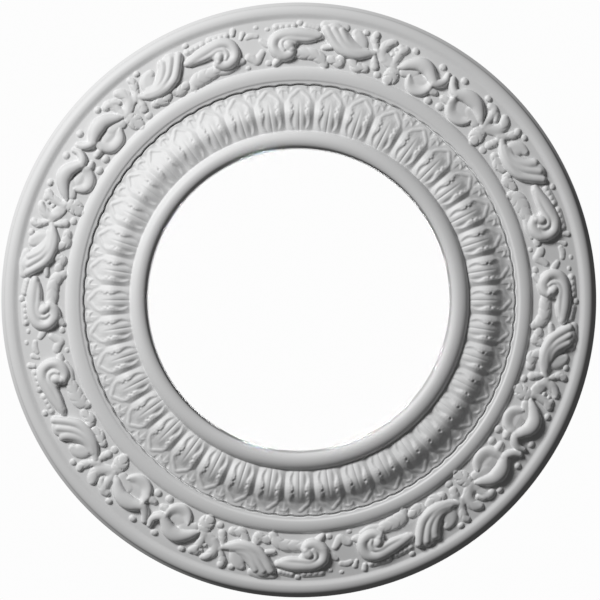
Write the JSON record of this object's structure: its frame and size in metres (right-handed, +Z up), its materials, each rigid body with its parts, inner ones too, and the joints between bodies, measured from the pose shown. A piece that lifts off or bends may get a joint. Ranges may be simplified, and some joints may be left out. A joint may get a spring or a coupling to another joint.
{
  "type": "ceiling rose",
  "caption": "Round ceiling rose with an open centre, a ring of leaves round it and a scrolled acanthus frieze, to trim a light fitting on a ceiling.",
  "frame": {"origin": "centre of the flat back, in the plane that lies against the ceiling", "axes": "+Z up into the ceiling along the ring's axis, so the carved face looks down -Z; -Y is the top edge of the face as the picture shows it"},
  "size_m": [0.308, 0.308, 0.019],
  "materials": {
    "white_primer": "smooth matt white primer on moulded foam"
  },
  "bodies": {
    "root": {"ceiling_rose": "white_primer"}
  },
  "joints": []
}
